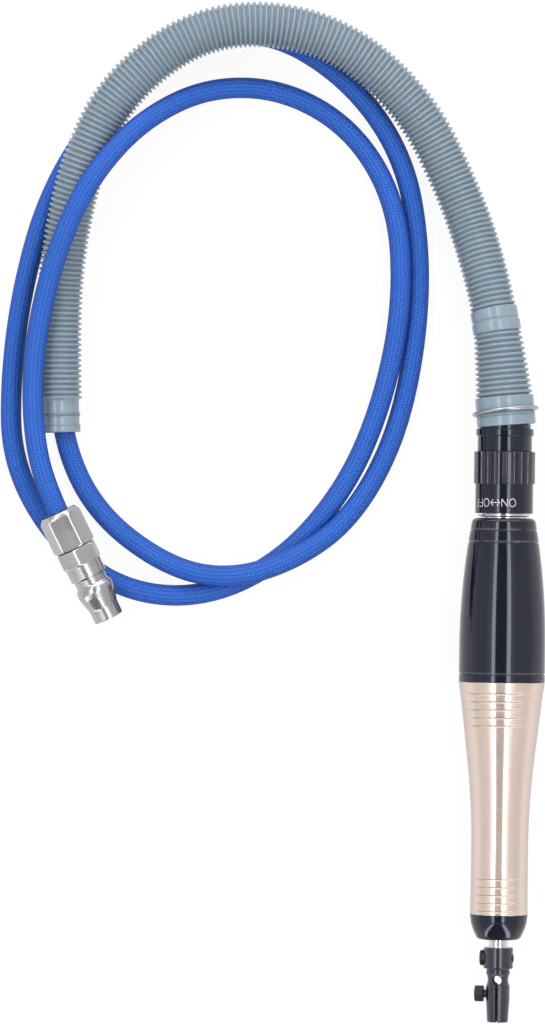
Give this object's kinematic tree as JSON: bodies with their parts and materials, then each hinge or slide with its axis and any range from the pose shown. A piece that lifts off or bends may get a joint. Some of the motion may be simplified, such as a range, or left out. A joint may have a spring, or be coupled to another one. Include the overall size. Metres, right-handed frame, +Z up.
{
  "type": "pneumatic reciprocating polisher",
  "caption": "Pencil-grip air polisher with a sprung piston shaft, split-jaw file holder, fluted valve ring, ribbed exhaust sleeve and coiled air hose with a quick-connect plug.",
  "frame": {"origin": "on the surface that the tool lies on, under the middle of the handpiece's length and width", "axes": "+Y back along the tool's axis towards the hose, +Z up, the jaw's screw head towards -X"},
  "size_m": [0.1712, 0.3179, 0.0271],
  "materials": {
    "champagne": "satin champagne anodising",
    "black_anodised": "glossy black anodising",
    "blackened_steel": "blackened, slightly glossy",
    "bright_steel": "bright turned steel",
    "head_aluminium": "plain turned aluminium",
    "bronze": "plain turned bronze",
    "seal_rubber": "black nitrile rubber",
    "ring_plastic": "off-white low-friction plastic",
    "felt": "grey wool felt",
    "sleeve_plastic": "grey-blue flexible plastic, slightly glossy",
    "hose_braid": "bright blue braided cover",
    "plug_chrome": "bright nickel plate"
  },
  "bodies": {
    "housing": {"front_housing": "champagne", "rear_housing": "black_anodised", "nose_cap": "black_anodised", "shaft_wiper": "seal_rubber", "front_bush": "bronze", "slotted_guide": "bronze", "front_head": "head_aluminium", "head_bush": "bronze", "cylinder": "bright_steel", "front_bumper": "seal_rubber", "rear_bumper": "seal_rubber", "rear_head": "head_aluminium", "joint_seal": "seal_rubber", "spindle_seal": "seal_rubber", "valve_spindle": "bright_steel", "valve_seals": "seal_rubber", "stop_pin": "bright_steel", "rear_cap": "black_anodised", "silencer_felt": "felt", "inlet_barb": "bronze", "hose_ferrule": "bright_steel", "sleeve_clamp": "bright_steel", "exhaust_sleeve": "sleeve_plastic", "air_hose": "hose_braid", "plug_nut": "plug_chrome", "plug_olive": "bronze", "plug_body": "plug_chrome", "return_spring": "bright_steel"},
    "valve_ring": {"valve_ring": "black_anodised"},
    "shaft": {"output_shaft": "bright_steel", "piston": "bright_steel", "piston_rings": "ring_plastic", "piston_nut": "bright_steel", "guide_pin": "bright_steel", "tool_holder": "blackened_steel", "holder_screw": "blackened_steel"},
    "jaw_screw": {"jaw_screw": "blackened_steel"}
  },
  "joints": [
    {"name": "shaft_stroke", "type": "slide", "parent": "housing", "child": "shaft", "axis": [0, -1, 0], "range_m": [0, 0.004], "stiffness_N_per_m": 2000, "springref_m": -0.002, "deforming": ["return_spring"]},
    {"name": "valve_turn", "type": "hinge", "parent": "housing", "child": "valve_ring", "pos_m": [0, 0.0708, 0.0135], "axis": [0, 1, 0], "range_deg": [0, 60]},
    {"name": "jaw_screw_turn", "type": "hinge", "parent": "shaft", "child": "jaw_screw", "pos_m": [0, -0.08915, 0.0135], "axis": [-0.9848, 0, -0.1736], "range_deg": [0, 360]}
  ]
}
